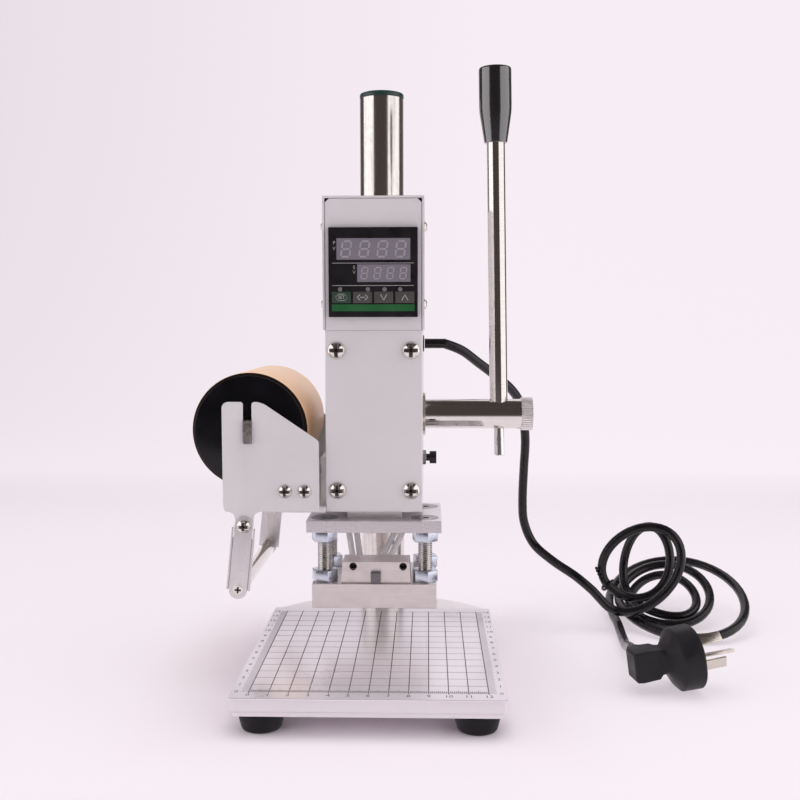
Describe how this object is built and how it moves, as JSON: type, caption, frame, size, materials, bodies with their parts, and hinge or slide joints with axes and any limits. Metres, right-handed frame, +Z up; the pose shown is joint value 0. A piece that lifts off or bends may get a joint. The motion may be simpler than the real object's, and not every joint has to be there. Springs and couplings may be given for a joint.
{
  "type": "hot foil stamping machine",
  "caption": "Bench hot foil stamping press: rack-and-pinion hand lever, heated die plate under a pillar head, foil roll at the side, temperature controller on top, ruled table.",
  "frame": {"origin": "on the floor, under the middle of the machine's box measured without the mains cord", "axes": "+X to the operator's right (lever side), +Y away from the operator, +Z up along the pillar"},
  "size_m": [0.3468, 0.2606, 0.3518],
  "materials": {
    "white_paint": "smooth semi-gloss white powder coat",
    "scale_print": "satin white sheet with a printed grey grid",
    "foot_rubber": "matte black",
    "chrome": "bright plated, lightly worn",
    "bright_steel": "bright machined",
    "black_screw": "black oxide",
    "cap_plastic": "satin black",
    "bush_bronze": "plain turned",
    "controller_plastic": "fine matte black",
    "window_plastic": "smoked clear, glossy",
    "key_plastic": "soft matte dark grey",
    "grip_plastic": "glossy black moulded",
    "plate_aluminium": "fine milled",
    "zinc": "blue zinc plate",
    "lead_sleeve": "white woven glass sleeve",
    "core_board": "plain board",
    "foil": "pale copper metallised film, glossy",
    "disc_plastic": "glossy black moulded",
    "cord_rubber": "satin black sheath",
    "tie_plastic": "black twist tie",
    "plug_plastic": "satin black moulded",
    "pin_brass": "plated flat blades"
  },
  "bodies": {
    "base": {"base_plate": "white_paint", "scale_plate": "scale_print", "rubber_feet": "foot_rubber", "foot_screws": "bright_steel", "pillar": "chrome", "pillar_cap": "cap_plastic", "pillar_bolt": "black_screw", "power_cord": "cord_rubber", "cord_bundle": "cord_rubber", "cord_tail": "cord_rubber", "bundle_tie": "tie_plastic", "plug_body": "plug_plastic", "plug_pins": "pin_brass"},
    "head": {"slide_housing": "white_paint", "front_cover": "white_paint", "cover_screws": "bright_steel", "clamp_cap": "white_paint", "clamp_bolts": "black_screw", "shaft_bushes": "bush_bronze", "friction_screw": "black_screw", "friction_nut": "bright_steel", "control_chassis": "white_paint", "control_cover": "white_paint", "box_screws": "bright_steel", "floor_screws": "bright_steel", "controller_case": "controller_plastic", "controller_bezel": "controller_plastic", "display_windows": "window_plastic", "cord_grommet": "cord_rubber", "foil_tray": "white_paint", "tray_screws": "black_screw", "bracket_cheeks": "white_paint", "bracket_screws": "bright_steel", "spindle": "bright_steel"},
    "lever": {"pinion_shaft": "chrome", "pinion_gear": "bright_steel", "lever_rod": "chrome", "lever_grip": "grip_plastic"},
    "knob": {"clamp_knob": "chrome"},
    "press": {"ram": "bright_steel", "press_plate": "plate_aluminium", "ram_screws": "black_screw", "levelling_studs": "bright_steel", "stud_nuts": "zinc", "heater_block": "plate_aluminium", "die_plate": "plate_aluminium", "lock_screw": "bright_steel", "heater_cartridges": "black_screw", "heater_leads": "lead_sleeve"},
    "roll": {"roll_discs": "disc_plastic", "foil_core": "core_board", "foil_winding": "foil"},
    "guide": {"guide_arms": "plate_aluminium", "guide_rod": "chrome", "guide_screws": "bright_steel"},
    "set_key": {"key_set": "key_plastic"},
    "shift_key": {"key_shift": "key_plastic"},
    "down_key": {"key_down": "key_plastic"},
    "up_key": {"key_up": "key_plastic"}
  },
  "joints": [
    {"name": "head_height", "type": "slide", "parent": "base", "child": "head", "axis": [0, 0, 1], "range_m": [0, 0.06]},
    {"name": "lever_swing", "type": "hinge", "parent": "head", "child": "lever", "pos_m": [0.005, 0.01655, 0.15], "axis": [1, 0, 0], "range_deg": [0, 90]},
    {"name": "ram_slide", "type": "slide", "parent": "head", "child": "press", "axis": [0, 0, -1], "range_m": [0, 0.0236]},
    {"name": "knob_turn", "type": "hinge", "parent": "lever", "child": "knob", "pos_m": [0.0895, 0.01655, 0.15], "axis": [1, 0, 0], "continuous": true},
    {"name": "roll_spin", "type": "hinge", "parent": "head", "child": "roll", "pos_m": [-0.064, 0.0175, 0.1446], "axis": [0, 1, 0], "continuous": true},
    {"name": "guide_swing", "type": "hinge", "parent": "head", "child": "guide", "pos_m": [-0.0664, 0.0175, 0.0927], "axis": [0, 1, 0], "range_deg": [-40, 50]},
    {"name": "set_press", "type": "slide", "parent": "head", "child": "set_key", "axis": [0, 1, 0], "range_m": [0, 0.0005], "stiffness_N_per_m": 3000, "springref_m": -0.0001},
    {"name": "shift_press", "type": "slide", "parent": "head", "child": "shift_key", "axis": [0, 1, 0], "range_m": [0, 0.0005], "stiffness_N_per_m": 3000, "springref_m": -0.0001},
    {"name": "down_press", "type": "slide", "parent": "head", "child": "down_key", "axis": [0, 1, 0], "range_m": [0, 0.0005], "stiffness_N_per_m": 3000, "springref_m": -0.0001},
    {"name": "up_press", "type": "slide", "parent": "head", "child": "up_key", "axis": [0, 1, 0], "range_m": [0, 0.0005], "stiffness_N_per_m": 3000, "springref_m": -0.0001}
  ],
  "couplings": [
    {"joint": "ram_slide", "follows": "lever_swing", "m_per_rad": 0.015}
  ]
}
